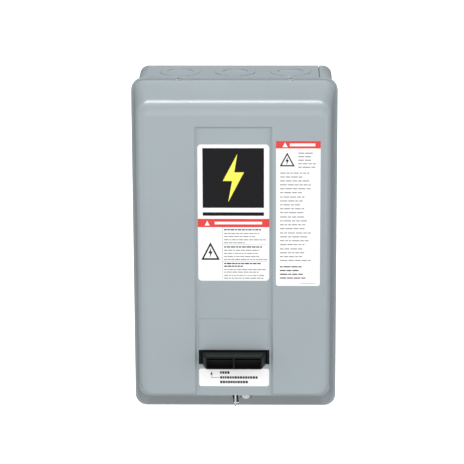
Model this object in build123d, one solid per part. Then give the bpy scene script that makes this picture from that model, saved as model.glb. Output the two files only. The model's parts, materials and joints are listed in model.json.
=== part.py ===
from build123d import *
import math
import os

# Enclosed three-pole magnetic motor starter: a sheet-steel wall box with a deep drawn cover,
# and inside it a contactor above an overload relay.
# Millimetres. +Z is up and the front faces -Y. The origin is the centre of the box's back
# face, which lies flat on the wall.

os.makedirs("parts", exist_ok=True)

# ---------------------------------------------------------------- driving dimensions
BOX_WIDTH = 167.2
BOX_HEIGHT = 286.5
BOX_DEPTH = 78.0
BOX_SHEET = 1.5
BOX_CORNER = 8.0
LOWER_EDGE = -71.4            # the box's lower walls stop here, behind the cover's chin
CHIN_RELIEF_TOP = -126.0      # and the side walls do so below this height

COVER_SHEET = 1.2
COVER_REAR = -71.9            # rear rim of the cover, which overlaps the box
COVER_FRONT = -134.5          # front face of the cover
COVER_REAR_WIDTH = 171.4
COVER_FRONT_WIDTH = 161.2
COVER_TOP_REAR = 147.35
COVER_TOP_FRONT = 141.2
COVER_BOTTOM = -145.15        # lower edge of the sloping chin, at the rear rim
CHIN_TOP = -113.0             # where the chin meets the front face
UPPER_CORNER_REAR = 9.4       # corner radii seen from the front
UPPER_CORNER_FRONT = 12.5
LOWER_CORNER = 9.5
TOP_EDGE_RADIUS = 11.0        # rounding from the top wall to the front face
SIDE_EDGE_RADIUS = 8.0
CHIN_EDGE_RADIUS = 2.2
ROUNDING_STEPS = 7            # sections that shape the rounded front edge
LIP = 1.8                     # outward lip at the rear rim, sides and top
CREASE_DEPTH = 0.8            # crease where the lip turns out of the wall
CREASE_WIDTH = 1.6
CHIN_CREASE_DEPTH = 0.7       # crease behind the chin's front edge
CHIN_CREASE_WIDTH = 3.6
LIP_UPPER_CORNER = 11.0
LIP_LOWER_CORNER = 10.0

RECESS_DEPTH = 2.5
RECESS_HALF_FLOOR = 30.4
RECESS_HALF_TOP = 32.4        # at the upper end; it widens a little downwards
RECESS_HALF_BOTTOM = 33.5
RECESS_TOP = 121.6
RECESS_FLOOR = COVER_FRONT + RECESS_DEPTH

HOOK_X = 47.6
HOOK_Z = 147.2
HOOK_SHEET = 1.2

RESET_Z = -79.8
POLE_PITCH = 26.0
POLES = (-POLE_PITCH, 0.0, POLE_PITCH)

PLATE_FRONT = -13.5           # front face of the steel mounting plate
CONTACTOR_Z = 52.0            # height of the contactor's centre line
RUNNING_GAP = 0.08            # radial clearance of a sliding or turning fit
SEAT_GAP = 0.1                # clearance of a fastener in its hole
WELD_GAP = 0.02               # between the box's back plate and the strip round it


# ---------------------------------------------------------------- helpers
def block(x_range, y_range, z_range):
    """Box between pairs of limits."""
    sizes = [abs(pair[1] - pair[0]) for pair in (x_range, y_range, z_range)]
    middle = [(pair[0] + pair[1]) / 2 for pair in (x_range, y_range, z_range)]
    return Pos(*middle) * Box(*sizes)


def rod_y(x, z, radius, y_range):
    """Cylinder along Y."""
    length = abs(y_range[1] - y_range[0])
    middle = (y_range[0] + y_range[1]) / 2
    return Pos(x, middle, z) * Rot(90, 0, 0) * Cylinder(radius, length)


def tube_y(x, z, outer, inner, y_range):
    """Hollow cylinder along Y."""
    return rod_y(x, z, outer, y_range) - rod_y(x, z, inner, y_range)


def side_profile(points, x_range):
    """Outline of (y, z) points, extruded along X."""
    plane = Plane(origin=(x_range[0], 0, 0), x_dir=(0, 1, 0), z_dir=(1, 0, 0))
    outline = plane * make_face(Polyline(*points, close=True))
    return extrude(outline, x_range[1] - x_range[0], dir=(1, 0, 0))


def front_plane(y):
    """Plane facing the viewer, with local x, y along +X, +Z."""
    return Plane(origin=(0, y, 0), x_dir=(1, 0, 0), z_dir=(0, -1, 0))


def panel(x_range, z_range, y_back, thickness, corner):
    """Flat plate with rounded corners, growing forwards from y_back."""
    middle = ((x_range[0] + x_range[1]) / 2, (z_range[0] + z_range[1]) / 2)
    face = RectangleRounded(x_range[1] - x_range[0], z_range[1] - z_range[0], corner)
    return extrude(front_plane(y_back) * Pos(*middle) * face, thickness)


def all_of(shapes):
    """Group of separate solids in one node."""
    return Compound(children=list(shapes))


def coil(mean_radius, wire, length, turns):
    """Round-wire coil whose centre line climbs from 0 to length along +Z."""
    path = Helix(length / turns, length, mean_radius)
    section = Plane(origin=path @ 0, z_dir=path % 0) * Circle(wire)
    return sweep(section, path)


def spring_y(x, z, mean_radius, wire, y_range, turns):
    """Round-wire coil spring along Y, between two seats."""
    low = min(y_range) + wire
    length = abs(y_range[1] - y_range[0]) - 2 * wire
    return Pos(x, low, z) * Rot(-90, 0, 0) * coil(mean_radius, wire, length, turns)


def pan_screw(x, z, seat, head_radius, head_height, shank_radius, length):
    """Slotted pan-head screw whose head stands forwards of its seat."""
    slot_width = head_radius * 0.26
    slot_depth = head_height * 0.45
    head = rod_y(x, z, head_radius, (seat - head_height, seat))
    front_edge = head.edges().filter_by(GeomType.CIRCLE).sort_by(Axis.Y)[0]
    head = fillet(front_edge, head_height * 0.4)
    shank = rod_y(x, z, shank_radius, (seat, seat + length))
    front = seat - head_height
    slot = block(
        (x - head_radius - 1, x + head_radius + 1),
        (front - 1, front + slot_depth),
        (z - slot_width / 2, z + slot_width / 2),
    )
    return head + shank - slot


def save(node, shape):
    """Write one node."""
    export_step(shape, f"parts/{node}.step")


# ---------------------------------------------------------------- wall box
KNOCKOUT_FROM_WALL = 25.3
KNOCKOUT_PITCH = 47.6
KNOCKOUT_OUTER = 17.3
KNOCKOUT_INNER = 11.1
KNOCKOUT_STEP = 0.45
KNOCKOUT_GROOVE = 0.4
SEAM_X = 72.3
SEAM_WIDTH = 0.5
WALL_HOLE_RADIUS = 3.5
WALL_HOLE_X = 60.3
WALL_HOLE_Z = 120.65


def knockout(wall, x, side):
    """Half-sheared concentric knockout in the top (side 1) or bottom (side -1) wall."""
    surface = side * BOX_HEIGHT / 2
    place = Pos(x, -KNOCKOUT_FROM_WALL, surface)
    raised = place * Cylinder(KNOCKOUT_OUTER, 2 * KNOCKOUT_STEP)
    inner = place * Cylinder(KNOCKOUT_INNER, 2 * KNOCKOUT_STEP)
    groove = place * (
        Cylinder(KNOCKOUT_OUTER + KNOCKOUT_GROOVE, 2 * KNOCKOUT_STEP)
        - Cylinder(KNOCKOUT_OUTER, 2 * KNOCKOUT_STEP)
    )
    return wall + raised - inner - groove


def box_sides():
    """One strip wrapped round the box, butted at a seam in the top wall."""
    outer = panel((-BOX_WIDTH / 2, BOX_WIDTH / 2), (-BOX_HEIGHT / 2, BOX_HEIGHT / 2), 0,
                  BOX_DEPTH, BOX_CORNER)
    half_width = BOX_WIDTH / 2 - BOX_SHEET
    half_height = BOX_HEIGHT / 2 - BOX_SHEET
    inner = panel((-half_width, half_width), (-half_height, half_height), 1,
                  BOX_DEPTH + 2, BOX_CORNER - BOX_SHEET)
    wall = outer - inner
    for side in (1, -1):
        for step in (-1, 0, 1):
            wall = knockout(wall, step * KNOCKOUT_PITCH, side)
    seam = block((SEAM_X - SEAM_WIDTH / 2, SEAM_X + SEAM_WIDTH / 2), (1, -BOX_DEPTH - 1),
                 (half_height - 5, BOX_HEIGHT / 2 + 5))
    chin_relief = block((-BOX_WIDTH, BOX_WIDTH), (LOWER_EDGE, -BOX_DEPTH - 1),
                        (-BOX_HEIGHT, CHIN_RELIEF_TOP))
    return wall - seam - chin_relief


def box_back():
    """Back plate welded inside the wrapped strip, with four wall-fixing holes."""
    half_width = BOX_WIDTH / 2 - BOX_SHEET
    half_height = BOX_HEIGHT / 2 - BOX_SHEET
    half_width -= WELD_GAP
    half_height -= WELD_GAP
    plate = panel((-half_width, half_width), (-half_height, half_height), 0, BOX_SHEET,
                  BOX_CORNER - BOX_SHEET)
    for x in (-WALL_HOLE_X, WALL_HOLE_X):
        for z in (-WALL_HOLE_Z, WALL_HOLE_Z):
            plate -= rod_y(x, z, WALL_HOLE_RADIUS, (-5, 5))
    for z in (-34.0, 34.0):
        plate -= rod_y(-67.0, z, KNOCKOUT_INNER, (-5, -0.9))
    return plate


def cover_hooks():
    """Two bent hooks welded to the box's top, which carry the cover's lip."""
    top = BOX_HEIGHT / 2
    points = [
        (-60.0, top), (-70.0, top), (-70.0, HOOK_Z - HOOK_SHEET / 2),
        (-75.0, HOOK_Z - HOOK_SHEET / 2), (-75.0, HOOK_Z + HOOK_SHEET / 2),
        (-70.0 + HOOK_SHEET, HOOK_Z + HOOK_SHEET / 2), (-70.0 + HOOK_SHEET, top + HOOK_SHEET),
        (-60.0, top + HOOK_SHEET),
    ]
    return all_of(side_profile(points, (x - 1.5, x + 1.5)) for x in (-HOOK_X, HOOK_X))


# ---------------------------------------------------------------- hasp bracket and cover screw
HASP_X = 0.9
HASP_SHEET = 1.4
SCREW_X = 9.8
SCREW_Z = -119.8
SCREW_POCKET_RADIUS = 5.2
SCREW_SEAT = -113.5
EAR_FRONT = -97.4
EAR_LEFT = 4.4                # the ear keeps clear of the chin slot
EAR_RIGHT = 16.0
SCREW_SHANK = 2.35
HASP_HOLE_RADIUS = 2.6
HASP_HOLE_Y = -121.6
HASP_HOLE_Z = -123.6


def hasp_bracket():
    """Bracket on the box's floor: foot, folded screw ear, and padlock tab through the chin."""
    floor = -BOX_HEIGHT / 2 + BOX_SHEET
    sheet = HASP_SHEET
    foot = block((-14.0, 24.0), (-44.0, -70.0), (floor, floor + sheet))
    arm = side_profile(
        [
            (-44.0, floor), (-73.6, floor), (EAR_FRONT, -129.5), (EAR_FRONT, -113.5),
            (EAR_FRONT + sheet, -113.5), (EAR_FRONT + sheet, -128.1),
            (-73.2, floor + sheet), (-44.0, floor + sheet),
        ],
        (EAR_LEFT, EAR_RIGHT),
    )
    ear_hole = rod_y(SCREW_X, SCREW_Z, SCREW_SHANK + SEAT_GAP, (-100, -90))
    tab = side_profile(
        [
            (-56.0, floor), (-73.0, floor), (-102.9, -126.2), (-112.0, -122.2),
            (-118.0, -125.6), (-121.5, -127.4), (-125.2, -127.0), (-127.2, -124.4),
            (-127.2, -116.0), (-124.0, -114.0), (-104.0, -114.0), (-72.0, -134.0),
            (-56.0, -136.0),
        ],
        (HASP_X - sheet / 2, HASP_X + sheet / 2),
    )
    hole = Pos(HASP_X, HASP_HOLE_Y, HASP_HOLE_Z) * Rot(0, 90, 0) * Cylinder(HASP_HOLE_RADIUS, 10)
    return foot + arm + tab - ear_hole - hole


def cover_screw():
    """Captive slotted screw that holds the cover's lower end."""
    return pan_screw(SCREW_X, SCREW_Z, SCREW_SEAT - 0.1, 4.2, 3.2, SCREW_SHANK, 22.1)


def screw_retainer():
    """Push-on washer that keeps the screw in the cover."""
    return tube_y(SCREW_X, SCREW_Z, 4.6, SCREW_SHANK + RUNNING_GAP, (-98.1, -98.9))


# ---------------------------------------------------------------- drawn cover
CHIN_RUN = COVER_REAR - COVER_FRONT
CHIN_SLOPE = (CHIN_TOP - COVER_BOTTOM) / CHIN_RUN
CHIN_SECANT = math.hypot(1, CHIN_SLOPE)
OPENING_HALF = 30.0
OPENING_Z = (-86.6, -73.6)


def chin_z(y):
    """Height of the chin's outer surface at depth y."""
    return COVER_BOTTOM + CHIN_SLOPE * (COVER_REAR - y)


def round_over(radius, depth):
    """How far a rounded front edge draws in at a depth behind the front face."""
    ahead = min(max(radius - depth, 0.0), radius)
    return radius - math.sqrt(radius ** 2 - ahead ** 2)


def cover_section(y, inset):
    """Outline of the drawn form at depth y, moved inwards by inset."""
    share = (y - COVER_FRONT) / CHIN_RUN
    depth = y - COVER_FRONT - inset
    side = round_over(SIDE_EDGE_RADIUS - inset, depth)
    over = round_over(TOP_EDGE_RADIUS - inset, depth)
    under = round_over(CHIN_EDGE_RADIUS - inset, depth)
    width = COVER_FRONT_WIDTH + share * (COVER_REAR_WIDTH - COVER_FRONT_WIDTH)
    half = width / 2 - inset - side
    top = COVER_TOP_FRONT + share * (COVER_TOP_REAR - COVER_TOP_FRONT) - inset - over
    bottom = chin_z(y) + inset * CHIN_SECANT + under
    upper = UPPER_CORNER_FRONT + share * (UPPER_CORNER_REAR - UPPER_CORNER_FRONT)
    upper -= inset + (side + over) / 2
    lower = LOWER_CORNER - inset - (side + under) / 2
    outline = FilletPolyline(
        (-half, bottom), (-half, top), (half, top), (half, bottom),
        close=True,
        radius=[lower, upper, upper, lower],
    )
    return front_plane(y) * make_face(outline)


def cover_form(inset, rear):
    """Closed solid of the drawn form; its front edge is rounded most along the top."""
    front = COVER_FRONT + inset
    reach = TOP_EDGE_RADIUS - inset
    angles = [math.pi / 2 * step / ROUNDING_STEPS for step in range(ROUNDING_STEPS + 1)]
    sections = [cover_section(front + reach * (1 - math.sin(angle)), inset) for angle in angles]
    walls = loft([cover_section(rear, inset), sections[0]], ruled=True)
    return walls + loft(sections)


def recess_form(grow):
    """Sloped-sided channel that forms the central recess, grown outwards by grow."""
    def outline(y, extra):
        top = RECESS_TOP + extra
        points = [
            (-(RECESS_HALF_TOP + extra), top), (RECESS_HALF_TOP + extra, top),
            (RECESS_HALF_BOTTOM + extra, -170.0), (-(RECESS_HALF_BOTTOM + extra), -170.0),
        ]
        return front_plane(y) * make_face(Polyline(*points, close=True))
    slope = (RECESS_HALF_TOP - RECESS_HALF_FLOOR) / RECESS_DEPTH
    ahead = 6.0
    return loft(
        [
            outline(COVER_FRONT - ahead, grow + ahead * slope),
            outline(RECESS_FLOOR + grow, grow - (RECESS_DEPTH + grow) * slope + grow * slope),
        ],
        ruled=True,
    )


def rear_lip():
    """Narrow outward lip along the sides and top of the rear rim."""
    half = COVER_REAR_WIDTH / 2 + LIP
    top = COVER_TOP_REAR + LIP
    bottom = COVER_BOTTOM
    outline = FilletPolyline(
        (-half, bottom), (-half, top), (half, top), (half, bottom),
        close=True,
        radius=[LIP_LOWER_CORNER, LIP_UPPER_CORNER, LIP_UPPER_CORNER, LIP_LOWER_CORNER],
    )
    return extrude(front_plane(COVER_REAR) * make_face(outline), COVER_SHEET)


def rim_groove(rear, front, depth, z_range):
    """Shallow groove round the drawn form between two depths, within a range of heights."""
    band = block((-COVER_REAR_WIDTH, COVER_REAR_WIDTH), (rear, front), z_range)
    core = loft([cover_section(rear, depth), cover_section(front, depth)], ruled=True)
    return band - core


def lip_crease():
    """Crease along the sides and top, just in front of the lip."""
    rear = COVER_REAR - COVER_SHEET
    return rim_groove(rear, rear - CREASE_WIDTH, CREASE_DEPTH, (-110.0, 160.0))


def chin_crease():
    """Crease just behind the chin's front edge, running out round the lower corners."""
    front = COVER_FRONT + CHIN_EDGE_RADIUS + 0.4
    return rim_groove(front + CHIN_CREASE_WIDTH, front, CHIN_CREASE_DEPTH, (-160.0, -105.0))


def chin_slot():
    """Slot in the chin for the padlock tab."""
    front, rear = -129.2, -75.0
    return side_profile(
        [(front, chin_z(front) + 5), (front, -165), (rear, -165), (rear, chin_z(rear) + 3)],
        (HASP_X - 2.35, HASP_X + 2.35),
    )


def front_cover():
    """Deep drawn cover with recess, rear lip, chin slot, screw pocket and openings."""
    outer = cover_form(0, COVER_REAR) + rear_lip()
    outer -= recess_form(0)
    outer -= rod_y(SCREW_X, SCREW_Z, SCREW_POCKET_RADIUS, (-160, SCREW_SEAT))
    inner = cover_form(COVER_SHEET, COVER_REAR + 2.0)
    inner -= recess_form(COVER_SHEET)
    inner -= rod_y(SCREW_X, SCREW_Z, SCREW_POCKET_RADIUS + COVER_SHEET,
                   (-160, SCREW_SEAT + COVER_SHEET))
    cover = outer - inner - lip_crease() - chin_crease() - chin_slot()
    cover -= rod_y(SCREW_X, SCREW_Z, SCREW_SHANK + 0.35, (-120, -110))
    cover -= block((-OPENING_HALF, OPENING_HALF), (-140, -125), OPENING_Z)
    for x in (-HOOK_X, HOOK_X):
        cover -= block((x - 2.1, x + 2.1), (COVER_REAR + 1, COVER_REAR - 4.6),
                       (HOOK_Z - 2.2, HOOK_Z + 1.35))
    return cover


def closing_plate():
    """Thin painted plate in the recess, over the place for extra operators."""
    return panel((-29.4, 29.4), (-72.4, -46.0), RECESS_FLOOR, 0.6, 1.0)


# ---------------------------------------------------------------- reset button on the cover
BUTTON_FRONT = -146.5
BUTTON_BASE_HALF = 28.2
BUTTON_FRONT_HALF = 23.9
BUTTON_Z = (-86.2, -74.7)
FLANGE_Y = (-130.4, -128.4)
POST_X = 13.0
POST_RADIUS = 4.0
POST_END = -108.0
GUIDE_Y = (-113.2, -112.0)
GUIDE_HALF = 39.2
COVER_INSIDE = COVER_FRONT + COVER_SHEET


def reset_button():
    """Moulded push button: tapered front with two finger pockets, flange and two posts."""
    middle = (BUTTON_Z[0] + BUTTON_Z[1]) / 2
    height = BUTTON_Z[1] - BUTTON_Z[0]

    def section(y, half, tall):
        return front_plane(y) * Pos(0, middle) * RectangleRounded(2 * half, tall, 1.4)

    front = loft(
        [
            section(FLANGE_Y[0], BUTTON_BASE_HALF, height),
            section(BUTTON_FRONT, BUTTON_FRONT_HALF, height - 0.6),
        ],
        ruled=True,
    )
    for side in (-1, 1):
        inner_x = side * 0.8
        outer_x = side * (BUTTON_FRONT_HALF - 1.3)
        front -= block((inner_x, outer_x), (BUTTON_FRONT - 1, BUTTON_FRONT + 9),
                       (BUTTON_Z[0] + 1.2, BUTTON_Z[1] - 1.6))
        front += block((inner_x, outer_x), (BUTTON_FRONT + 6, BUTTON_FRONT + 9.5),
                       (middle - 0.6, middle + 0.6))
    flange = block((-31.6, 31.6), FLANGE_Y, (BUTTON_Z[0] - 1.7, BUTTON_Z[1] + 1.7))
    button = front + flange
    for x in (-POST_X, POST_X):
        button += rod_y(x, RESET_Z, POST_RADIUS, (FLANGE_Y[1], POST_END))
    return button


def reset_guide():
    """Bent strap welded inside the cover, guiding the button's two posts."""
    sheet = GUIDE_Y[1] - GUIDE_Y[0]
    z_range = (-88.0, -71.6)
    strap = block((-GUIDE_HALF, GUIDE_HALF), GUIDE_Y, z_range)
    for side in (-1, 1):
        strap += block((side * GUIDE_HALF, side * (GUIDE_HALF - sheet)), (GUIDE_Y[1], COVER_INSIDE),
                       z_range)
        strap += block((side * (GUIDE_HALF - sheet), side * 46.0),
                       (COVER_INSIDE + sheet, COVER_INSIDE), z_range)
        strap -= rod_y(side * POST_X, RESET_Z, POST_RADIUS + RUNNING_GAP, (-115, -110))
    return strap


def reset_button_springs():
    """Two coil springs on the posts, between flange and strap."""
    return all_of(
        spring_y(x, RESET_Z, POST_RADIUS + 1.3, 0.45, (FLANGE_Y[1] + 0.1, GUIDE_Y[0] - 0.1), 6)
        for x in (-POST_X, POST_X)
    )


# ---------------------------------------------------------------- labels
LABEL_THICKNESS = 0.15


def labels():
    """Printed labels on the cover, each a thin rounded sheet."""
    return {
        "main_label": panel((-29.8, 29.8), (-12.1, 105.9), RECESS_FLOOR, LABEL_THICKNESS, 3.0),
        "warning_label": panel((35.4, 72.2), (-15.8, 109.5), COVER_FRONT, LABEL_THICKNESS, 2.0),
        "reset_label": panel((-29.8, 29.8), (-106.2, -90.4), RECESS_FLOOR, LABEL_THICKNESS, 2.0),
        "wiring_label": Pos(0, COVER_INSIDE - COVER_FRONT + LABEL_THICKNESS, 0)
        * panel((-68.0, -38.0), (-20.0, 100.0), COVER_FRONT, LABEL_THICKNESS, 2.0),
    }


# ---------------------------------------------------------------- mounting plate and ground screw
STANDOFF_X = 44.0
STANDOFF_Z = (-123.5, 108.0)
PLATE_SHEET = 2.0


def mounting_corners():
    """Places of the four standoffs."""
    return [(x, z) for x in (-STANDOFF_X, STANDOFF_X) for z in STANDOFF_Z]


def mounting_plate():
    """Steel plate that carries contactor and overload relay."""
    back = PLATE_FRONT + PLATE_SHEET
    plate = panel((-52, 52), (-130, 114), back, PLATE_SHEET, 4.0)
    for x, z in mounting_corners():
        plate -= rod_y(x, z, 2.2, (-20, 0))
    return plate


def plate_standoffs():
    """Hexagonal standoffs welded to the box's back."""
    length = -(PLATE_FRONT + PLATE_SHEET) - BOX_SHEET
    posts = []
    for x, z in mounting_corners():
        hexagon = extrude(front_plane(-BOX_SHEET) * Pos(x, z) * RegularPolygon(5.5, 6), length)
        posts.append(hexagon - rod_y(x, z, 2.0 + SEAT_GAP, (-30, -4)))
    return all_of(posts)


def plate_screws():
    """Four screws through the plate into the standoffs."""
    return all_of(pan_screw(x, z, PLATE_FRONT, 4.4, 3.0, 2.0, 9.0) for x, z in mounting_corners())


GROUND_X = -66.0
GROUND_Z = -96.0


def ground_lug():
    """Earth terminal on the box's back: a saddle plate."""
    plate = block((GROUND_X - 6, GROUND_X + 6), (-BOX_SHEET, -3.5), (GROUND_Z - 8, GROUND_Z + 8))
    return plate - rod_y(GROUND_X, GROUND_Z, 2.3, (-10, 0))


def ground_screw():
    """Green earth screw."""
    return pan_screw(GROUND_X, GROUND_Z, -3.5, 4.6, 3.4, 2.2 - SEAT_GAP, 1.9)


# ---------------------------------------------------------------- contactor: fixed parts
HOUSING_BACK = -50.0
HOUSING_FRONT = -66.0
CONTACTOR_HALF = 50.0
CAVITY_HALF = 24.0
STRIP_FRONT = HOUSING_FRONT - 1.8
FIXED_PAD_FRONT = -69.0
BRIDGE_PAD_BACK = -73.3
BRIDGE_Y = (-76.2, -74.4)
CONTACT_Z = 15.0
COIL_STRIP_Z = 18.5
COIL_SCREW_X = 51.0


def around(half):
    """Z limits placed evenly about the contactor's centre line."""
    return (CONTACTOR_Z - half, CONTACTOR_Z + half)


def contactor_base():
    """Moulded base with the magnet cavity, and a ledge for the coil terminals."""
    base = block((-44, 44), (PLATE_FRONT, HOUSING_BACK), around(CONTACTOR_HALF))
    base -= block((-33, 33), (-17.5, HOUSING_BACK - 1), around(CAVITY_HALF))
    base += block((44, 56), (PLATE_FRONT, -41.0), around(CAVITY_HALF))
    for side in (-1, 1):
        z = CONTACTOR_Z + side * COIL_STRIP_Z
        base -= block((32, 45), (-41.0, HOUSING_BACK - 1), (z - 4, z + 4))
        base -= rod_y(COIL_SCREW_X, z, 2.0, (-43, -33))
    for x in (-38, 38):
        for z in around(40):
            base -= rod_y(x, z, 2.0 + SEAT_GAP, (-60, -38))
    return base


def contact_housing():
    """Moulded carrier of the fixed contacts, with phase barriers and a central window."""
    housing = block((-46, 46), (HOUSING_BACK, HOUSING_FRONT), around(CONTACTOR_HALF))
    housing -= block((-39, 39), (HOUSING_BACK + 1, HOUSING_FRONT - 1), around(19))
    for x in (-45, -POLE_PITCH / 2, POLE_PITCH / 2, 45):
        for side in (-1, 1):
            near = CONTACTOR_Z + side * 31
            far = CONTACTOR_Z + side * CONTACTOR_HALF
            housing += block((x - 1, x + 1), (HOUSING_FRONT, -78.0), (near, far))
    for x in POLES:
        for z in around(43):
            housing -= rod_y(x, z, 2.0 + SEAT_GAP, (-70, -57))
    for x in (-38, 38):
        for z in around(24):
            housing -= rod_y(x, z, 1.5 + SEAT_GAP, (-70, -56))
    return housing


def magnet_core():
    """Fixed E-shaped laminated core."""
    core = block((-30, 30), (-17.5, -26.0), around(9))
    for x_range in ((-30, -20), (-6, 6), (20, 30)):
        core += block(x_range, (-26.0, -42.0), around(9))
    return core


def shading_rings():
    """Copper rings round the two outer poles, which stop the hum."""
    rings = []
    for x_range in ((-30, -20), (20, 30)):
        outer = block((x_range[0] - 0.8, x_range[1] + 0.8), (-38.6, -40.4), around(9.8))
        rings.append(outer - block(x_range, (-30, -50), around(9)))
    return all_of(rings)


def coil_bobbin():
    """Moulded bobbin round the centre pole."""
    bobbin = block((-7.6, 7.6), (-26.3, -41.0), around(10.6))
    for y_range in ((-26.3, -27.8), (-39.5, -41.0)):
        bobbin += block((-18.5, 18.5), y_range, around(21.5))
    return bobbin - block((-6.3, 6.3), (-20, -50), around(9.3))


def coil_winding():
    """Taped copper winding on the bobbin."""
    section = RectangleRounded(34, 40, 5) - Rectangle(15.3, 21.3)
    return extrude(front_plane(-27.9) * Pos(0, CONTACTOR_Z) * section, 11.5)


def coil_terminals():
    """Brass strips from the bobbin to the two coil screws at the side."""
    strips = []
    for side in (-1, 1):
        z = CONTACTOR_Z + side * COIL_STRIP_Z
        strip = block((10, 56), (-41.0, -42.2), (z - 3, z + 3))
        strips.append(strip - rod_y(COIL_SCREW_X, z, 1.9 + SEAT_GAP, (-44, -40)))
    return all_of(strips)


def coil_screws():
    """Two screws of the coil terminals."""
    return all_of(
        pan_screw(COIL_SCREW_X, CONTACTOR_Z + side * COIL_STRIP_Z, -42.2, 3.6, 2.8, 1.9, 7.0)
        for side in (-1, 1)
    )


def fixed_contacts(side):
    """Three copper strips with silver pads, above (side 1) or below (side -1)."""
    strips = []
    for x in POLES:
        near = CONTACTOR_Z + side * 11
        far = CONTACTOR_Z + side * 48.5
        strip = block((x - 5, x + 5), (HOUSING_FRONT, STRIP_FRONT), (near, far))
        strip -= rod_y(x, CONTACTOR_Z + side * 43, 2.1, (-70, -60))
        pad = rod_y(x, CONTACTOR_Z + side * CONTACT_Z, 3.2, (STRIP_FRONT, FIXED_PAD_FRONT))
        strips.append(strip + pad)
    return all_of(strips)


def line_screws():
    """Three line-terminal screws."""
    return all_of(
        pan_screw(x, CONTACTOR_Z + 43, STRIP_FRONT, 4.4, 3.2, 2.0, 9.0) for x in POLES
    )


def load_screws():
    """Three load-terminal screws, over the jumper straps."""
    return all_of(
        pan_screw(x, CONTACTOR_Z - 43, STRIP_FRONT - 1.2, 4.4, 3.2, 2.0, 10.0) for x in POLES
    )


def arc_cover():
    """Moulded hood over the contacts, with arc barriers between the poles."""
    hood_back = HOUSING_FRONT
    hood_front = -98.0
    wall = 2.5
    hood = block((-46, 46), (hood_back, hood_front), around(30))
    hood -= block((-46 + wall, 46 - wall), (hood_back + 1, hood_front + wall), around(30 - wall))
    for x in (-POLE_PITCH / 2, POLE_PITCH / 2):
        for side in (-1, 1):
            hood += block((x - 0.8, x + 0.8), (hood_back - 1, hood_front + wall),
                          (CONTACTOR_Z + side * 8.0, CONTACTOR_Z + side * (30 - wall)))
    for x in POLES:
        hood -= block((x - 5.3, x + 5.3), (hood_back + 1, STRIP_FRONT - 0.3), around(32))
    hood -= block((-47, -43), (-92.0, -72.0), around(4.5))
    for x in (-38, 38):
        for z in around(24):
            hood += rod_y(x, z, 4.0, (hood_back, hood_front))
            hood -= rod_y(x, z, 1.5 + SEAT_GAP, (-110, -60))
    hood -= block((-30, 30), (hood_front - 1, hood_front + 1.0), around(9))
    return hood


def arc_cover_screws():
    """Four long screws of the hood."""
    return all_of(
        pan_screw(x, z, -98.0, 3.4, 2.4, 1.5, 41.0) for x in (-38, 38) for z in around(24)
    )


# ---------------------------------------------------------------- contactor: moving parts
def armature():
    """Moving laminated bar that the coil pulls back."""
    bar = block((-30, 30), (-47.5, -55.6), around(9))
    return bar - rod_y(0, CONTACTOR_Z, 2.5, (-60, -40))


def armature_pin():
    """Rivet that joins armature and contact carrier."""
    return rod_y(0, CONTACTOR_Z, 2.5 - SEAT_GAP, (-48.2, -63.0))


def contact_carrier():
    """Moulded carrier with three windows for the contact bridges, and the auxiliary arm."""
    carrier = block((-32, 32), (-55.7, -59.8), around(17))
    carrier += block((-35, 35), (-59.8, -88.0), around(6))
    for x in POLES:
        carrier -= block((x - 5.2, x + 5.2), (-74.1, -85.0), around(7))
    carrier += block((-56.5, -34.0), (-83.6, -87.0), around(3))
    return carrier - rod_y(0, CONTACTOR_Z, 2.5, (-50, -64))


def contact_bridges():
    """Three moving copper bridges with silver pads."""
    bridges = []
    for x in POLES:
        bridge = block((x - 4.5, x + 4.5), BRIDGE_Y, around(19))
        for z in around(CONTACT_Z):
            bridge += rod_y(x, z, 3.0, (BRIDGE_Y[1], BRIDGE_PAD_BACK))
        bridges.append(bridge)
    return all_of(bridges)


def contact_springs():
    """Three springs that press the bridges on the fixed contacts."""
    return all_of(
        spring_y(x, CONTACTOR_Z, 3.0, 0.4, (BRIDGE_Y[0] - 0.1, -84.9), 4) for x in POLES
    )


def return_springs():
    """Two springs that push the carrier forwards when the coil is off."""
    return all_of(spring_y(0, z, 2.4, 0.4, (-41.1, -55.6), 6) for z in around(13.2))


def auxiliary_block():
    """Side-mounted auxiliary contact body."""
    body = block((-60, -46.3), (HOUSING_BACK, -78.0), around(20))
    body -= rod_y(-53.2, CONTACTOR_Z, 2.6 + RUNNING_GAP, (-80, -60))
    for z in around(15):
        body -= block((-61, -49), (-74.0, -79.0), (z - 4.2, z + 4.2))
        body -= rod_y(-54.8, z, 1.5 + SEAT_GAP, (-75, -66))
    return body


def auxiliary_screws():
    """Two terminal screws of the auxiliary contact."""
    return all_of(pan_screw(-54.8, z, -74.0, 3.2, 2.4, 1.5, 7.0) for z in around(15))


def auxiliary_plunger():
    """Plunger that the carrier's arm presses."""
    return rod_y(-53.2, CONTACTOR_Z, 2.6, (-66.0, -83.5))


# ---------------------------------------------------------------- overload relay
RELAY_Z = (-118.0, -26.0)
RELAY_BASE_FRONT = -38.0
RELAY_FRONT = -46.0
RELAY_CAVITY_BACK = -17.0
WHEEL_Z = -46.0
WHEEL_TIP = 5.0
WHEEL_ROOT = 3.9
WHEEL_TEETH = 12
WHEEL_Y = (-34.0, -37.0)
SPINDLE_RADIUS = 1.8
ROD_X = POST_X
ROD_RADIUS = 3.0
HEATER_Z = (-64.0, -30.0)
HEATER_SCREW_Z = (-60.5, -33.5)
LOAD_SCREW_Z = -108.0
CONTROL_SCREWS_Z = (-108.0, -90.0)


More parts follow.
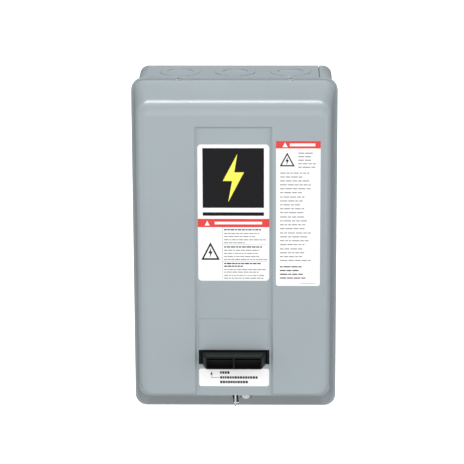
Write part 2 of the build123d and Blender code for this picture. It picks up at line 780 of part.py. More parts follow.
def overload_base():
    """Moulded tray with the trip mechanism's guides and a ledge for the control terminals."""
    base = block((-44, 44), (PLATE_FRONT, RELAY_BASE_FRONT), RELAY_Z)
    base -= block((-40, 40), (RELAY_CAVITY_BACK, RELAY_BASE_FRONT - 1), (-98, -38))
    base += block((-38, 38), (RELAY_CAVITY_BACK, WHEEL_Y[0] + 0.3), (-62, -54))
    base += block((-34, 38), (WHEEL_Y[0] + 0.3, WHEEL_Y[1] - 0.3), (-62, -60.3))
    base += block((44, 56), (PLATE_FRONT, -30.0), (-116, -82))
    for z in CONTROL_SCREWS_Z:
        base -= rod_y(COIL_SCREW_X, z, 2.0, (-31, -22))
    return base


def overload_front():
    """Front plate with barriers between the three thermal units."""
    front = block((-44, 44), (RELAY_BASE_FRONT, RELAY_FRONT), RELAY_Z)
    for x in (-43, -POLE_PITCH / 2, POLE_PITCH / 2, 43):
        front += block((x - 1, x + 1), (RELAY_FRONT, -58.0), (-70, -26))
        front += block((x - 1, x + 1), (RELAY_FRONT, -54.0), (-118, -98))
    front -= rod_y(ROD_X, RESET_Z, ROD_RADIUS + RUNNING_GAP, (-60, -30))
    for x in POLES:
        front -= rod_y(x, WHEEL_Z, SPINDLE_RADIUS + RUNNING_GAP, (-60, -30))
        for z in HEATER_SCREW_Z + (LOAD_SCREW_Z,):
            front -= rod_y(x, z, 1.9 + SEAT_GAP, (-60, -39.5))
    return front


def ratchet_wheel(x):
    """Toothed wheel on the spindle of one melting-alloy pot."""
    outline = []
    for tooth in range(WHEEL_TEETH):
        for radius, shift in ((WHEEL_TIP, 0.0), (WHEEL_ROOT, 0.5)):
            angle = 2 * math.pi * (tooth + 0.5 + shift) / WHEEL_TEETH + math.pi / 2
            outline.append((radius * math.cos(angle), radius * math.sin(angle)))
    face = make_face(Polyline(*outline, close=True))
    wheel = extrude(front_plane(WHEEL_Y[0]) * Pos(x, WHEEL_Z) * face, WHEEL_Y[0] - WHEEL_Y[1])
    return wheel + rod_y(x, WHEEL_Z, SPINDLE_RADIUS, (WHEEL_Y[1], RELAY_FRONT - 0.8))


def thermal_units():
    """Three heater straps, each with its alloy pot and heater winding."""
    units = []
    for x in POLES:
        unit = block((x - 5, x + 5), (-47.2, -48.6), HEATER_Z)
        unit += rod_y(x, WHEEL_Z, 5.0, (-48.6, -56.0))
        for turn in range(3):
            middle = -50.2 - 2.0 * turn
            unit += Pos(x, middle, WHEEL_Z) * Rot(90, 0, 0) * Torus(5.4, 0.8)
        for z in HEATER_SCREW_Z:
            unit -= rod_y(x, z, 1.9 + SEAT_GAP, (-60, -40))
        units.append(unit)
    return all_of(units)


def thermal_unit_screws():
    """Six screws that hold the thermal units."""
    return all_of(
        pan_screw(x, z, -48.6, 3.4, 2.6, 1.9, 7.5) for x in POLES for z in HEATER_SCREW_Z
    )


def motor_terminals():
    """Three strips from the thermal units down to the motor terminals."""
    strips = []
    for x in POLES:
        strip = block((x - 4, x + 4), (RELAY_FRONT, -47.2), (-115.0, -56.5))
        for z in (HEATER_SCREW_Z[0], LOAD_SCREW_Z):
            strip -= rod_y(x, z, 1.9 + SEAT_GAP, (-60, -40))
        strips.append(strip)
    return all_of(strips)


def motor_terminal_screws():
    """Three motor-terminal screws."""
    return all_of(pan_screw(x, LOAD_SCREW_Z, -47.2, 4.2, 3.0, 1.9, 6.5) for x in POLES)


def jumper_straps():
    """Three bent copper straps from the contactor down to the thermal units."""
    sheet = 1.2
    top_back = STRIP_FRONT
    points = [
        (top_back, 13.0), (top_back, 1.0), (-47.2, -22.0), (-47.2 + sheet, -22.5),
        (-47.2 + sheet, -36.5), (-47.2, -36.5), (-47.2, -23.6), (top_back - sheet, 0.4),
        (top_back - sheet, 13.0),
    ]
    straps = []
    for x in POLES:
        strap = side_profile(points, (x - 4, x + 4))
        strap -= rod_y(x, CONTACTOR_Z - 43, 2.1, (-75, -60))
        strap -= rod_y(x, HEATER_SCREW_Z[1], 1.9 + SEAT_GAP, (-50, -40))
        straps.append(strap)
    return all_of(straps)


def trip_slide():
    """Slide with three pawls that the ratchet wheels hold until the alloy melts."""
    tip = WHEEL_Z - WHEEL_TIP + 0.6
    slide = block((-32, 36), WHEEL_Y, (-60.0, -54.4))
    for x in POLES:
        pawl = [(x - 1.9, -54.5), (x - 0.25, tip), (x + 0.25, tip), (x + 1.9, -54.5)]
        face = front_plane(WHEEL_Y[0]) * make_face(Polyline(*pawl, close=True))
        slide += extrude(face, WHEEL_Y[0] - WHEEL_Y[1])
    return slide


def trip_spring():
    """Spring that drives the slide when a wheel lets go."""
    left_end = -39.5
    middle_y = -35.85
    return Pos(left_end, middle_y, -57.2) * Rot(0, 90, 0) * coil(1.5, 0.4, 7.0, 4)


def reset_rod():
    """Rod that the cover's button pushes, with a collar and a resetting finger."""
    rod = rod_y(ROD_X, RESET_Z, ROD_RADIUS, (-23.0, POST_END + 0.7))
    rod += rod_y(ROD_X, RESET_Z, 5.4, (-30.0, -32.0))
    rod += block((ROD_X - 1.5, ROD_X + 1.5), (-32.0, -36.4), (RESET_Z, -64.0))
    return rod


def reset_rod_spring():
    """Spring that returns the rod."""
    return spring_y(ROD_X, RESET_Z, ROD_RADIUS + 0.9, 0.4, (RELAY_CAVITY_BACK - 0.1, -29.9), 6)


def control_terminals():
    """Two brass tabs of the relay's control contact."""
    tabs = []
    for z in CONTROL_SCREWS_Z:
        tab = block((44.0, 56.0), (-30.0, -31.2), (z - 4, z + 4))
        tabs.append(tab - rod_y(COIL_SCREW_X, z, 1.9 + SEAT_GAP, (-35, -28)))
    return all_of(tabs)


def control_screws():
    """Two screws of the control terminals."""
    return all_of(
        pan_screw(COIL_SCREW_X, z, -31.2, 3.6, 2.8, 1.9, 7.0) for z in CONTROL_SCREWS_Z
    )


def control_wires():
    """Factory wires: coil to overload contact, and coil to auxiliary contact."""
    low = CONTACTOR_Z - COIL_STRIP_Z
    high = CONTACTOR_Z + COIL_STRIP_Z
    routes = [
        [(56.0, -41.6, low), (68.0, -41.6, low), (68.0, -30.6, -60.0), (68.0, -30.6, -90.0),
         (56.0, -30.6, -90.0)],
        [(56.0, -41.6, high), (64.0, -41.6, high), (64.0, -41.6, 112.0), (-66.0, -41.6, 112.0),
         (-66.0, -76.0, 88.0), (-66.0, -76.0, 67.0), (-60.0, -76.0, 67.0)],
    ]
    wires = []
    for route in routes:
        path = FilletPolyline(*route, radius=3.4)
        section = Plane(origin=path @ 0, z_dir=path % 0) * Circle(1.3)
        wires.append(sweep(section, path))
    return all_of(wires)


# ---------------------------------------------------------------- write every node
def main():
    nodes = {
        "box_sides": box_sides(),
        "box_back": box_back(),
        "cover_hooks": cover_hooks(),
        "hasp_bracket": hasp_bracket(),
        "front_cover": front_cover(),
        "closing_plate": closing_plate(),
        "cover_screw": cover_screw(),
        "screw_retainer": screw_retainer(),
        "reset_button": reset_button(),
        "reset_guide": reset_guide(),
        "reset_button_springs": reset_button_springs(),
        "mounting_plate": mounting_plate(),
        "plate_standoffs": plate_standoffs(),
        "plate_screws": plate_screws(),
        "ground_lug": ground_lug(),
        "ground_screw": ground_screw(),
        "contactor_base": contactor_base(),
        "contact_housing": contact_housing(),
        "magnet_core": magnet_core(),
        "shading_rings": shading_rings(),
        "coil_bobbin": coil_bobbin(),
        "coil_winding": coil_winding(),
        "coil_terminals": coil_terminals(),
        "coil_screws": coil_screws(),
        "line_contacts": fixed_contacts(1),
        "load_contacts": fixed_contacts(-1),
        "line_screws": line_screws(),
        "load_screws": load_screws(),
        "arc_cover": arc_cover(),
        "arc_cover_screws": arc_cover_screws(),
        "armature": armature(),
        "armature_pin": armature_pin(),
        "contact_carrier": contact_carrier(),
        "contact_bridges": contact_bridges(),
        "contact_springs": contact_springs(),
        "return_springs": return_springs(),
        "auxiliary_block": auxiliary_block(),
        "auxiliary_screws": auxiliary_screws(),
        "auxiliary_plunger": auxiliary_plunger(),
        "overload_base": overload_base(),
        "overload_front": overload_front(),
        "ratchet_wheel_left": ratchet_wheel(-POLE_PITCH),
        "ratchet_wheel_middle": ratchet_wheel(0.0),
        "ratchet_wheel_right": ratchet_wheel(POLE_PITCH),
        "thermal_units": thermal_units(),
        "thermal_unit_screws": thermal_unit_screws(),
        "motor_terminals": motor_terminals(),
        "motor_terminal_screws": motor_terminal_screws(),
        "jumper_straps": jumper_straps(),
        "trip_slide": trip_slide(),
        "trip_spring": trip_spring(),
        "reset_rod": reset_rod(),
        "reset_rod_spring": reset_rod_spring(),
        "control_terminals": control_terminals(),
        "control_screws": control_screws(),
        "control_wires": control_wires(),
        **labels(),
    }
    for node, shape in nodes.items():
        save(node, shape)


main()
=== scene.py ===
import json
import math
import random

import bpy
from mathutils import Matrix, Vector


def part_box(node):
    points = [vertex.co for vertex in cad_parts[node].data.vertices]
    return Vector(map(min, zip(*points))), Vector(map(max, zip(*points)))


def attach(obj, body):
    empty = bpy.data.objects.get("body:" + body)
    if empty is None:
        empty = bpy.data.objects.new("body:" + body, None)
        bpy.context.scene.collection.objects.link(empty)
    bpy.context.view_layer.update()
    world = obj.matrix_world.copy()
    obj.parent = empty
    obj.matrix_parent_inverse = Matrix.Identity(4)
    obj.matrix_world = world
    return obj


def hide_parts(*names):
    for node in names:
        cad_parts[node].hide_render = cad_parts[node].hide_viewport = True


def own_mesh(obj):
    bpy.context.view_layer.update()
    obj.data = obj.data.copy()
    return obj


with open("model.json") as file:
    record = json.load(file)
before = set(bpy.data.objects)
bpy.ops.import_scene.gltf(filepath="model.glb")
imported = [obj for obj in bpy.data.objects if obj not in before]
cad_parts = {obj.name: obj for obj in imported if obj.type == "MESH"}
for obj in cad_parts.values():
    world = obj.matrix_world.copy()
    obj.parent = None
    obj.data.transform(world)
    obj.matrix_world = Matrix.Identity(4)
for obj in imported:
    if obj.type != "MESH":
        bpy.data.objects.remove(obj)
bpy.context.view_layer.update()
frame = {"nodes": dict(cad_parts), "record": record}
nodes = frame["nodes"]

MM = 0.001

# Label ink, in millimetres in front of its label.
INK_THICKNESS = 0.03
INK_LIFT = 0.03
OVERPRINT_LIFT = 0.07         # ink that lies on other ink


# ---------------------------------------------------------------- material building blocks
def new_material(name):
    """Empty node material with a principled shader; returns material, nodes, links, shader."""
    material = bpy.data.materials.new(name)
    material.use_nodes = True
    tree = material.node_tree
    shader = tree.nodes["Principled BSDF"]
    return material, tree.nodes, tree.links, shader


def object_coordinates(tree_nodes, links, stretch=(1, 1, 1)):
    """Object coordinates in metres, stretched per axis."""
    source = tree_nodes.new("ShaderNodeTexCoord")
    mapping = tree_nodes.new("ShaderNodeMapping")
    mapping.inputs["Scale"].default_value = stretch
    links.new(source.outputs["Object"], mapping.inputs["Vector"])
    return mapping.outputs["Vector"]


def noise(tree_nodes, links, vector, scale, detail=3.0, roughness=0.5):
    """Noise texture on a vector."""
    texture = tree_nodes.new("ShaderNodeTexNoise")
    texture.inputs["Scale"].default_value = scale
    texture.inputs["Detail"].default_value = detail
    texture.inputs["Roughness"].default_value = roughness
    links.new(vector, texture.inputs["Vector"])
    return texture.outputs["Fac"]


def ramp(tree_nodes, links, factor, stops):
    """Colour ramp with (position, colour) stops."""
    node = tree_nodes.new("ShaderNodeValToRGB")
    elements = node.color_ramp.elements
    while len(elements) < len(stops):
        elements.new(0.5)
    for element, (position, colour) in zip(elements, stops):
        element.position = position
        element.color = (*colour, 1.0)
    links.new(factor, node.inputs["Fac"])
    return node.outputs["Color"]


def to_range(tree_nodes, links, factor, low, high):
    """Map 0..1 on low..high."""
    node = tree_nodes.new("ShaderNodeMapRange")
    node.inputs["To Min"].default_value = low
    node.inputs["To Max"].default_value = high
    links.new(factor, node.inputs["Value"])
    return node.outputs["Result"]


def bump(tree_nodes, links, height, distance, strength, below=None):
    """Bump from a height, optionally on top of another normal."""
    node = tree_nodes.new("ShaderNodeBump")
    node.inputs["Distance"].default_value = distance
    node.inputs["Strength"].default_value = strength
    links.new(height, node.inputs["Height"])
    if below is not None:
        links.new(below, node.inputs["Normal"])
    return node.outputs["Normal"]


def scaled(colour, factor):
    """Colour made lighter or darker."""
    return tuple(min(1.0, channel * factor) for channel in colour)


# ---------------------------------------------------------------- materials
def enamel(name, colour):
    """Baked enamel on sheet steel: faint orange peel, slight tone and gloss variation."""
    material, tree_nodes, links, shader = new_material(name)
    vector = object_coordinates(tree_nodes, links)
    broad = noise(tree_nodes, links, vector, scale=14.0, detail=2.0)
    stops = [(0.3, scaled(colour, 0.975)), (0.7, scaled(colour, 1.02))]
    links.new(ramp(tree_nodes, links, broad, stops), shader.inputs["Base Color"])
    smudge = noise(tree_nodes, links, vector, scale=45.0, detail=4.0, roughness=0.6)
    gloss = to_range(tree_nodes, links, smudge, low=0.30, high=0.40)
    links.new(gloss, shader.inputs["Roughness"])
    waves = noise(tree_nodes, links, vector, scale=7.0, detail=1.0)
    peel = noise(tree_nodes, links, vector, scale=950.0, detail=2.0)
    rolled = bump(tree_nodes, links, waves, distance=0.004, strength=0.10)
    skin = bump(tree_nodes, links, peel, distance=0.0001, strength=0.16, below=rolled)
    links.new(skin, shader.inputs["Normal"])
    shader.inputs["Specular IOR Level"].default_value = 0.5
    shader.inputs["Coat Weight"].default_value = 0.30
    shader.inputs["Coat Roughness"].default_value = 0.18
    return material


def metal(name, colour, roughness, grain=(1, 1, 1), grain_scale=900.0):
    """Bare or plated metal with fine grain, which may be stretched, and uneven gloss."""
    material, tree_nodes, links, shader = new_material(name)
    vector = object_coordinates(tree_nodes, links, grain)
    plain = object_coordinates(tree_nodes, links)
    patches = noise(tree_nodes, links, plain, scale=160.0, detail=4.0, roughness=0.6)
    stops = [(0.25, scaled(colour, 0.82)), (0.75, scaled(colour, 1.08))]
    links.new(ramp(tree_nodes, links, patches, stops), shader.inputs["Base Color"])
    gloss = to_range(tree_nodes, links, patches, low=roughness * 0.75, high=roughness * 1.3)
    links.new(gloss, shader.inputs["Roughness"])
    lines = noise(tree_nodes, links, vector, scale=grain_scale, detail=3.0)
    scratches = bump(tree_nodes, links, lines, distance=0.00004, strength=0.35)
    links.new(scratches, shader.inputs["Normal"])
    shader.inputs["Metallic"].default_value = 1.0
    return material


def plastic(name, colour, roughness, speckle, texture_depth, specular=0.5):
    """Moulded plastic with a fine mould texture and faint speckle."""
    material, tree_nodes, links, shader = new_material(name)
    vector = object_coordinates(tree_nodes, links)
    specks = noise(tree_nodes, links, vector, scale=700.0, detail=5.0, roughness=0.7)
    stops = [(0.35, scaled(colour, 1 - speckle)), (0.7, scaled(colour, 1 + speckle))]
    links.new(ramp(tree_nodes, links, specks, stops), shader.inputs["Base Color"])
    sheen = noise(tree_nodes, links, vector, scale=60.0, detail=3.0)
    gloss = to_range(tree_nodes, links, sheen, low=roughness * 0.85, high=roughness * 1.2)
    links.new(gloss, shader.inputs["Roughness"])
    grain = noise(tree_nodes, links, vector, scale=1600.0, detail=2.0)
    skin = bump(tree_nodes, links, grain, distance=texture_depth, strength=0.4)
    links.new(skin, shader.inputs["Normal"])
    shader.inputs["Specular IOR Level"].default_value = specular
    return material


def laminated_steel(name):
    """Stack of thin steel sheets, ground on the pole faces; the sheets lie across Z."""
    material, tree_nodes, links, shader = new_material(name)
    vector = object_coordinates(tree_nodes, links)
    sheets = tree_nodes.new("ShaderNodeTexWave")
    sheets.bands_direction = "Z"
    sheets.inputs["Scale"].default_value = 320.0
    sheets.inputs["Distortion"].default_value = 0.3
    links.new(vector, sheets.inputs["Vector"])
    stops = [(0.1, (0.10, 0.10, 0.11)), (0.5, (0.42, 0.42, 0.44))]
    links.new(ramp(tree_nodes, links, sheets.outputs["Fac"], stops), shader.inputs["Base Color"])
    rust = noise(tree_nodes, links, vector, scale=220.0, detail=4.0)
    links.new(to_range(tree_nodes, links, rust, low=0.35, high=0.6), shader.inputs["Roughness"])
    edges = bump(tree_nodes, links, sheets.outputs["Fac"], distance=0.00015, strength=0.5)
    links.new(edges, shader.inputs["Normal"])
    shader.inputs["Metallic"].default_value = 0.85
    return material


def winding_tape(name):
    """Varnished cotton tape over the winding, with its overlapping turns showing."""
    material, tree_nodes, links, shader = new_material(name)
    vector = object_coordinates(tree_nodes, links)
    turns = tree_nodes.new("ShaderNodeTexWave")
    turns.bands_direction = "Y"
    turns.inputs["Scale"].default_value = 420.0
    turns.inputs["Distortion"].default_value = 0.8
    links.new(vector, turns.inputs["Vector"])
    stain = noise(tree_nodes, links, vector, scale=90.0, detail=4.0)
    stops = [(0.3, (0.42, 0.20, 0.035)), (0.7, (0.62, 0.36, 0.08))]
    links.new(ramp(tree_nodes, links, stain, stops), shader.inputs["Base Color"])
    laps = bump(tree_nodes, links, turns.outputs["Fac"], distance=0.0002, strength=0.6)
    links.new(laps, shader.inputs["Normal"])
    shader.inputs["Roughness"].default_value = 0.32
    shader.inputs["Coat Weight"].default_value = 0.5
    shader.inputs["Coat Roughness"].default_value = 0.15
    return material


def printed_film(name, colour, roughness=0.38, specular=0.5):
    """Printed label film: nearly even colour with a faint fibre and a satin face."""
    material, tree_nodes, links, shader = new_material(name)
    vector = object_coordinates(tree_nodes, links)
    fibre = noise(tree_nodes, links, vector, scale=420.0, detail=3.0)
    stops = [(0.3, scaled(colour, 0.98)), (0.7, scaled(colour, 1.02))]
    links.new(ramp(tree_nodes, links, fibre, stops), shader.inputs["Base Color"])
    satin = to_range(tree_nodes, links, fibre, low=roughness, high=roughness + 0.08)
    links.new(satin, shader.inputs["Roughness"])
    face = bump(tree_nodes, links, fibre, distance=0.00002, strength=0.2)
    links.new(face, shader.inputs["Normal"])
    shader.inputs["Specular IOR Level"].default_value = specular
    return material


ENAMEL_COLOUR = (0.324, 0.376, 0.398)

materials = {
    "cover_enamel": enamel("cover_enamel", ENAMEL_COLOUR),
    "box_enamel": enamel("box_enamel", ENAMEL_COLOUR),
    "zinc": metal("zinc", (0.74, 0.75, 0.77), roughness=0.28),
    "label_film": printed_film("label_film", (0.90, 0.90, 0.90)),
    # Near-black base colour and low specular: the button's own black plastic, darkened further as
    # painted shade for the shadowed inside of the cover opening around it.
    "button_black": plastic(
        "button_black", (0.006, 0.0062, 0.0066),
        roughness=0.30, speckle=0.10, texture_depth=0.00002, specular=0.16,
    ),
    "phenolic": plastic(
        "phenolic", (0.030, 0.029, 0.028),
        roughness=0.48, speckle=0.22, texture_depth=0.00003,
    ),
    "grey_moulding": plastic(
        "grey_moulding", (0.20, 0.205, 0.21),
        roughness=0.5, speckle=0.06, texture_depth=0.00003,
    ),
    "copper": metal(
        "copper", (0.80, 0.40, 0.24), roughness=0.30, grain=(1, 1, 8), grain_scale=500.0,
    ),
    "silver_plate": metal(
        "silver_plate", (0.82, 0.80, 0.76), roughness=0.25, grain=(1, 1, 6), grain_scale=500.0,
    ),
    "brass": metal(
        "brass", (0.76, 0.57, 0.22), roughness=0.27, grain=(6, 1, 1), grain_scale=500.0,
    ),
    "laminated_steel": laminated_steel("laminated_steel"),
    "winding_tape": winding_tape("winding_tape"),
    "spring_steel": metal("spring_steel", (0.58, 0.58, 0.60), roughness=0.3),
    "green_screw": metal("green_screw", (0.06, 0.36, 0.12), roughness=0.35),
    "wire_black": plastic(
        "wire_black", (0.018, 0.018, 0.020),
        roughness=0.42, speckle=0.05, texture_depth=0.00001,
    ),
}

inks = {
    "black": printed_film("ink_black", (0.007, 0.0065, 0.008), roughness=0.34, specular=0.15),
    "grey": printed_film("ink_grey", (0.27, 0.27, 0.28), roughness=0.40, specular=0.3),
    "red": printed_film("ink_red", (0.74, 0.055, 0.050), roughness=0.36, specular=0.25),
    "yellow": printed_film("ink_yellow", (0.90, 0.84, 0.11), roughness=0.36, specular=0.25),
    "white": printed_film("ink_white", (0.90, 0.90, 0.90), specular=0.4),
}


# ---------------------------------------------------------------- CAD nodes
# Widths of the rounded edges, in millimetres.
EDGE_WIDTHS = {
    "front_cover": 0.5,
    "box_sides": 0.25,
    "box_back": 0.25,
    "reset_button": 0.45,
    "arc_cover": 0.5,
    "contactor_base": 0.5,
    "contact_housing": 0.4,
    "overload_base": 0.5,
    "overload_front": 0.4,
    "auxiliary_block": 0.5,
    "contact_carrier": 0.4,
    "magnet_core": 0.2,
    "armature": 0.2,
    "hasp_bracket": 0.3,
    "coil_bobbin": 0.2,
    "mounting_plate": 0.3,
}
EDGE_ANGLE = math.radians(38)
EDGE_SEGMENTS = 2
WELD_DISTANCE = 1e-6


def dress_nodes():
    """Give every CAD node its slot's material, and rounded edges where they catch light."""
    for entry in frame["record"]["subparts"]:
        piece = nodes[entry["node"]]
        piece.data.materials.clear()
        piece.data.materials.append(materials[entry["material_slot"]])
        width = EDGE_WIDTHS.get(entry["node"])
        if width is None:
            continue
        weld = piece.modifiers.new("weld", "WELD")
        weld.merge_threshold = WELD_DISTANCE
        edge = piece.modifiers.new("edge", "BEVEL")
        edge.limit_method = "ANGLE"
        edge.angle_limit = EDGE_ANGLE
        edge.width = width * MM
        edge.segments = EDGE_SEGMENTS
        edge.use_clamp_overlap = True
        edge.harden_normals = False


# ---------------------------------------------------------------- spring coils
# Node, the body its rear seat is on, the joint that squeezes it, and by how many millimetres.
SPRINGS = (
    ("reset_button_springs", "cover", "button_push", 5.0),
    ("return_springs", "enclosure", "carrier_pull_in", 5.3),
    ("contact_springs", "contact_bridges", "carrier_pull_in", 1.3),
    ("reset_rod_spring", "enclosure", "rod_push", 5.0),
)


def live_springs():
    """Spring-steel copies of the coils, each attached to the body of its rear seat; the original
    nodes are hidden.
    """
    for node, body, joint, travel in SPRINGS:
        mesh = nodes[node].data.copy()
        mesh.materials.clear()
        mesh.materials.append(materials["spring_steel"])
        coils = bpy.data.objects.new(f"{node}_coils", mesh)
        bpy.context.scene.collection.objects.link(coils)
        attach(coils, body)
        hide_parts(node)
        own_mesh(coils)


# ---------------------------------------------------------------- printed graphics
class Print:
    """Flat ink shapes of one colour on one label, gathered into one thin mesh."""

    def __init__(self, label):
        self.low, self.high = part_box(label)
        self.vertices = []
        self.faces = []

    def place(self, u, v):
        """Point on the label: u from the left, v from the top, each 0 to 1."""
        x = self.low.x + u * (self.high.x - self.low.x)
        z = self.high.z - v * (self.high.z - self.low.z)
        return x, z

    def polygon(self, points, lift=INK_LIFT):
        """Closed thin prism over (u, v) points given clockwise as seen from the front."""
        front = self.low.y - (lift + INK_THICKNESS) * MM
        back = self.low.y - lift * MM
        start = len(self.vertices)
        count = len(points)
        for depth in (front, back):
            for u, v in points:
                x, z = self.place(u, v)
                self.vertices.append((x, depth, z))
        self.faces.append([start + i for i in reversed(range(count))])
        self.faces.append([start + count + i for i in range(count)])
        for i in range(count):
            j = (i + 1) % count
            self.faces.append([start + i, start + j, start + count + j, start + count + i])

    def bar(self, u0, v0, u1, v1, lift=INK_LIFT):
        """Rectangle."""
        self.polygon([(u0, v0), (u1, v0), (u1, v1), (u0, v1)], lift)

    def words(self, u0, u1, v, height, rng, word=(0.03, 0.10), gap=0.014):
        """Row of plain word-length bars, standing for a line of small print."""
        u = u0
        while u < u1 - word[0]:
            length = min(rng.uniform(*word), u1 - u)
            self.bar(u, v - height / 2, u + length, v + height / 2)
            u += length + gap

    def finish(self, name, ink, body):
        """Make the mesh object."""
        mesh = bpy.data.meshes.new(name)
        mesh.from_pydata(self.vertices, [], self.faces)
        mesh.validate()
        piece = bpy.data.objects.new(name, mesh)
        bpy.context.scene.collection.objects.link(piece)
        mesh.materials.append(inks[ink])
        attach(piece, body)
        return piece


# Corners of a plain lightning bolt in a unit square.
BOLT = [(0.62, 0.0), (0.18, 0.56), (0.46, 0.56), (0.34, 1.0), (0.82, 0.38), (0.53, 0.38)]


def bolt_points(u0, v0, u1, v1):
    """Plain lightning bolt inside a rectangle."""
    return [(u0 + a * (u1 - u0), v0 + b * (v1 - v0)) for a, b in BOLT]


def triangle_ring(ink, u0, v0, u1, v1, wall):
    """Open triangle made of three bars; wall is the inner triangle's share of the outer one."""
    outer = [((u0 + u1) / 2, v0), (u1, v1), (u0, v1)]
    middle = (sum(p[0] for p in outer) / 3, sum(p[1] for p in outer) / 3)
    inner = [(middle[0] + (p[0] - middle[0]) * wall, middle[1] + (p[1] - middle[1]) * wall)
             for p in outer]
    for i in range(3):
        j = (i + 1) % 3
        ink.polygon([outer[i], outer[j], inner[j], inner[i]])


def main_label_print():
    """Black emblem panel with a yellow bolt, a red band, a symbol and blocks of small print."""
    rng = random.Random(7)
    label = "main_label"
    black, grey, red = Print(label), Print(label), Print(label)
    yellow, white = Print(label), Print(label)
    black.bar(0.07, 0.026, 0.926, 0.461)
    yellow.polygon(bolt_points(0.27, 0.068, 0.73, 0.419), lift=OVERPRINT_LIFT)
    black.bar(0.07, 0.494, 0.926, 0.519)
    red.bar(0.0, 0.542, 1.0, 0.603)
    white.polygon([(0.131, 0.556), (0.166, 0.59), (0.096, 0.59)], lift=OVERPRINT_LIFT)
    white.bar(0.235, 0.563, 0.90, 0.582, lift=OVERPRINT_LIFT)
    triangle_ring(black, 0.045, 0.715, 0.305, 0.845, 0.72)
    black.polygon(bolt_points(0.13, 0.752, 0.22, 0.832))
    grey.bar(0.342, 0.603, 0.346, 0.988)
    for v in (0.732, 0.856):
        grey.bar(0.346, v - 0.001, 0.97, v + 0.001)
    bold_rows = [(0.622, 0.91), (0.749, 0.90), (0.872, 0.88), (0.892, 0.63)]
    plain_rows = [(0.650, 0.86), (0.672, 0.82), (0.696, 0.95), (0.718, 0.66), (0.774, 0.86),
                  (0.797, 0.86), (0.820, 0.86), (0.842, 0.97), (0.917, 0.95), (0.936, 0.88),
                  (0.961, 0.93), (0.981, 0.92)]
    for v, end in bold_rows:
        black.words(0.365, end, v, 0.0085, rng, word=(0.025, 0.07), gap=0.010)
    for v, end in plain_rows:
        grey.words(0.365, end, v, 0.0075, rng, word=(0.02, 0.08), gap=0.010)
    for ink, name in ((black, "black"), (grey, "grey"), (red, "red"), (yellow, "yellow"),
                      (white, "white")):
        ink.finish(f"main_label_{name}_print", name, "cover")


def warning_label_print():
    """Red band, symbol and rows of small print."""
    rng = random.Random(11)
    label = "warning_label"
    black, grey, red, white = Print(label), Print(label), Print(label), Print(label)
    red.bar(0.0, 0.0, 1.0, 0.05)
    white.polygon([(0.20, 0.009), (0.264, 0.041), (0.14, 0.041)], lift=OVERPRINT_LIFT)
    white.bar(0.31, 0.016, 0.88, 0.035, lift=OVERPRINT_LIFT)
    triangle_ring(black, 0.08, 0.078, 0.42, 0.172, 0.72)
    black.polygon(bolt_points(0.19, 0.106, 0.31, 0.164))
    for row in range(5):
        grey.words(0.50, rng.uniform(0.80, 0.92), 0.082 + 0.024 * row, 0.0075, rng,
                   word=(0.07, 0.18), gap=0.02)
    v = 0.218
    for rows in (6, 5, 4, 4, 4):
        for row in range(rows):
            grey.words(0.09, rng.uniform(0.58, 0.84), v, 0.0072, rng, word=(0.05, 0.17), gap=0.02)
            v += 0.0268
        v += 0.0035
    v = 0.866
    for row in range(4):
        black.words(0.09, rng.uniform(0.58, 0.68), v, 0.0070, rng, word=(0.06, 0.17), gap=0.02)
        v += 0.0262
    grey.bar(0.55, 0.980, 0.90, 0.983)
    for ink, name in ((black, "black"), (grey, "grey"), (red, "red"), (white, "white")):
        ink.finish(f"warning_label_{name}_print", name, "cover")


def reset_label_print():
    """Small arrow and three rows of small print."""
    rng = random.Random(3)
    black = Print("reset_label")
    black.polygon([(0.178, 0.16), (0.194, 0.34), (0.162, 0.34)])
    for v, end in ((0.22, 0.46), (0.50, 0.84), (0.76, 0.70)):
        black.words(0.30, end, v, 0.13, rng, word=(0.022, 0.034), gap=0.008)
    black.finish("reset_label_black_print", "black", "cover")
    grey = Print("reset_label")
    grey.bar(0.175, 0.34, 0.181, 0.50)
    grey.bar(0.175, 0.49, 0.29, 0.52)
    grey.finish("reset_label_grey_print", "grey", "cover")


def wiring_label_print():
    """Plain wiring diagram inside the cover: boxes joined by lines."""
    black = Print("wiring_label")
    thickness = (black.high.y - black.low.y) / MM
    behind = -(thickness + INK_LIFT + INK_THICKNESS)
    for column in range(3):
        u = 0.25 + 0.25 * column
        black.bar(u - 0.006, 0.08, u + 0.006, 0.9, lift=behind)
        for v in (0.2, 0.45, 0.7):
            black.bar(u - 0.06, v, u + 0.06, v + 0.05, lift=behind)
    for v in (0.32, 0.6):
        black.bar(0.25, v, 0.75, v + 0.004, lift=behind)
    black.finish("wiring_label_print", "black", "cover")


# ---------------------------------------------------------------- floor, light and camera
FLOOR_Z = -1.60
FLOOR_HALF_WIDTH = 6.0
FLOOR_FRONT = -4.0
BACKDROP_Y = 3.0
BACKDROP_TOP = 6.0
BEND_RADIUS = 1.2
BEND_STEPS = 12


def floor_material():
    """Pale matte paper, a little self-lit, so that it is pale from every side."""
    material, tree_nodes, links, shader = new_material("pale_floor")
    vector = object_coordinates(tree_nodes, links)
    tone = noise(tree_nodes, links, vector, scale=2.0, detail=1.0)
    stops = [(0.2, (0.93, 0.93, 0.93)), (0.8, (0.95, 0.95, 0.95))]
    links.new(ramp(tree_nodes, links, tone, stops), shader.inputs["Base Color"])
    shader.inputs["Roughness"].default_value = 0.9
    shader.inputs["Emission Color"].default_value = (1, 1, 1, 1)
    shader.inputs["Emission Strength"].default_value = 0.55
    return material


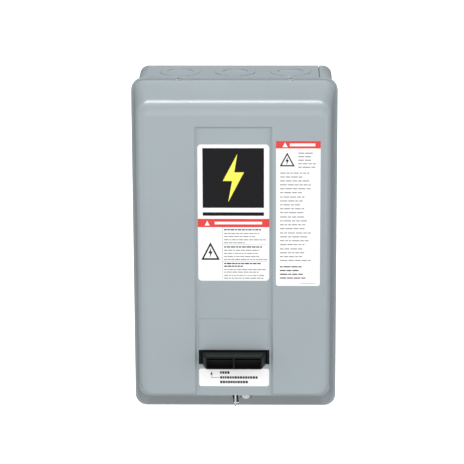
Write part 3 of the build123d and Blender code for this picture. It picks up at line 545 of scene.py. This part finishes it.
def stage():
    """Pale plain floor that curves up into a pale backdrop; it sends no light to the object."""
    bend_y = BACKDROP_Y - BEND_RADIUS
    profile = [(FLOOR_FRONT, FLOOR_Z), (bend_y, FLOOR_Z)]
    for step in range(1, BEND_STEPS + 1):
        angle = math.pi / 2 * step / BEND_STEPS
        profile.append((bend_y + BEND_RADIUS * math.sin(angle),
                        FLOOR_Z + BEND_RADIUS * (1 - math.cos(angle))))
    profile.append((BACKDROP_Y, BACKDROP_TOP))
    vertices = [(x, y, z) for x in (-FLOOR_HALF_WIDTH, FLOOR_HALF_WIDTH) for y, z in profile]
    count = len(profile)
    faces = [(i, count + i, count + i + 1, i + 1) for i in range(count - 1)]
    mesh = bpy.data.meshes.new("floor")
    mesh.from_pydata(vertices, [], faces)
    mesh.materials.append(floor_material())
    for face in mesh.polygons:
        face.use_smooth = True
    floor = bpy.data.objects.new("floor", mesh)
    bpy.context.scene.collection.objects.link(floor)
    floor.visible_glossy = False
    floor.visible_diffuse = False


# Name, place, the point it is aimed at, width and height, watts.
LIGHTS = (
    ("key", (0.1, -2.2, 0.9), (0, -0.08, 0), (3.0, 2.0), 26),
    ("overhead", (0, 0.55, 1.3), (0, -0.08, 0.1), (1.2, 0.75), 5.6),
    ("left", (-1.5, -0.9, 0.1), (0, -0.10, 0), (0.3, 1.4), 3.2),
    ("right", (1.5, -0.9, 0.1), (0, -0.10, 0), (0.3, 1.4), 4.2),
    ("backdrop", (0, 1.2, 3.0), (0, 2.4, -0.4), (3.0, 1.0), 90),
)

# Strength of the surroundings from one side to the other.
FRONT_TO_BACK = (1.0, 0.16)
BELOW_TO_ABOVE = (1.0, 0.74)


def area_light(name, place, target, size, watts):
    """Soft rectangular light aimed at a point."""
    light = bpy.data.lights.new(name, "AREA")
    light.shape = "RECTANGLE"
    light.size, light.size_y = size
    light.energy = watts
    lamp = bpy.data.objects.new(name, light)
    lamp.location = place
    aim = Vector(target) - Vector(place)
    lamp.rotation_euler = aim.to_track_quat("-Z", "Y").to_euler()
    bpy.context.scene.collection.objects.link(lamp)


def world_light():
    """Pale surroundings, brightest in front and a little brighter below than above."""
    world = bpy.data.worlds.new("studio")
    bpy.context.scene.world = world
    world.use_nodes = True
    tree_nodes, links = world.node_tree.nodes, world.node_tree.links
    direction = tree_nodes.new("ShaderNodeTexCoord").outputs["Generated"]
    split = tree_nodes.new("ShaderNodeSeparateXYZ")
    links.new(direction, split.inputs["Vector"])
    product = tree_nodes.new("ShaderNodeMath")
    product.operation = "MULTIPLY"
    shares = (("Y", FRONT_TO_BACK), ("Z", BELOW_TO_ABOVE))
    for socket, (axis, (low, high)) in enumerate(shares):
        spread = tree_nodes.new("ShaderNodeMapRange")
        spread.inputs["From Min"].default_value = -1.0
        spread.inputs["To Min"].default_value = low
        spread.inputs["To Max"].default_value = high
        links.new(split.outputs[axis], spread.inputs["Value"])
        links.new(spread.outputs["Result"], product.inputs[socket])
    links.new(product.outputs["Value"], tree_nodes["Background"].inputs["Strength"])
    tree_nodes["Background"].inputs["Color"].default_value = (1, 1, 1, 1)


def studio():
    """Soft surroundings, a key light above the camera, a softbox overhead."""
    world_light()
    for light in LIGHTS:
        area_light(*light)


CAMERA_TILT = math.radians(16.47)
CAMERA_YAW = math.radians(-1.1)
CAMERA_ROLL = math.radians(0.23)
CAMERA_TARGET = Vector((-0.0027, -0.060, 0.0092))
CAMERA_DISTANCE = 2.152
CAMERA_LENS = 193.0
SENSOR_WIDTH = 36.0


def camera():
    """Long lens, a little above the front, turned slightly to one side."""
    tilt = Matrix((
        (1, 0, 0),
        (0, math.sin(CAMERA_TILT), math.cos(CAMERA_TILT)),
        (0, -math.cos(CAMERA_TILT), math.sin(CAMERA_TILT)),
    ))
    view = Matrix.Rotation(CAMERA_ROLL, 3, "Z") @ tilt @ Matrix.Rotation(CAMERA_YAW, 3, "Z")
    pose = view.transposed().to_4x4()
    pose.translation = CAMERA_TARGET + pose.col[2].to_3d() * CAMERA_DISTANCE
    data = bpy.data.cameras.new("camera")
    data.lens = CAMERA_LENS
    data.sensor_width = SENSOR_WIDTH
    lens = bpy.data.objects.new("camera", data)
    lens.matrix_world = pose
    bpy.context.scene.collection.objects.link(lens)
    bpy.context.scene.camera = lens


# ---------------------------------------------------------------- build the scene
camera()
dress_nodes()
live_springs()
main_label_print()
warning_label_print()
reset_label_print()
wiring_label_print()
stage()
studio()
bpy.context.scene.view_settings.view_transform = "Standard"
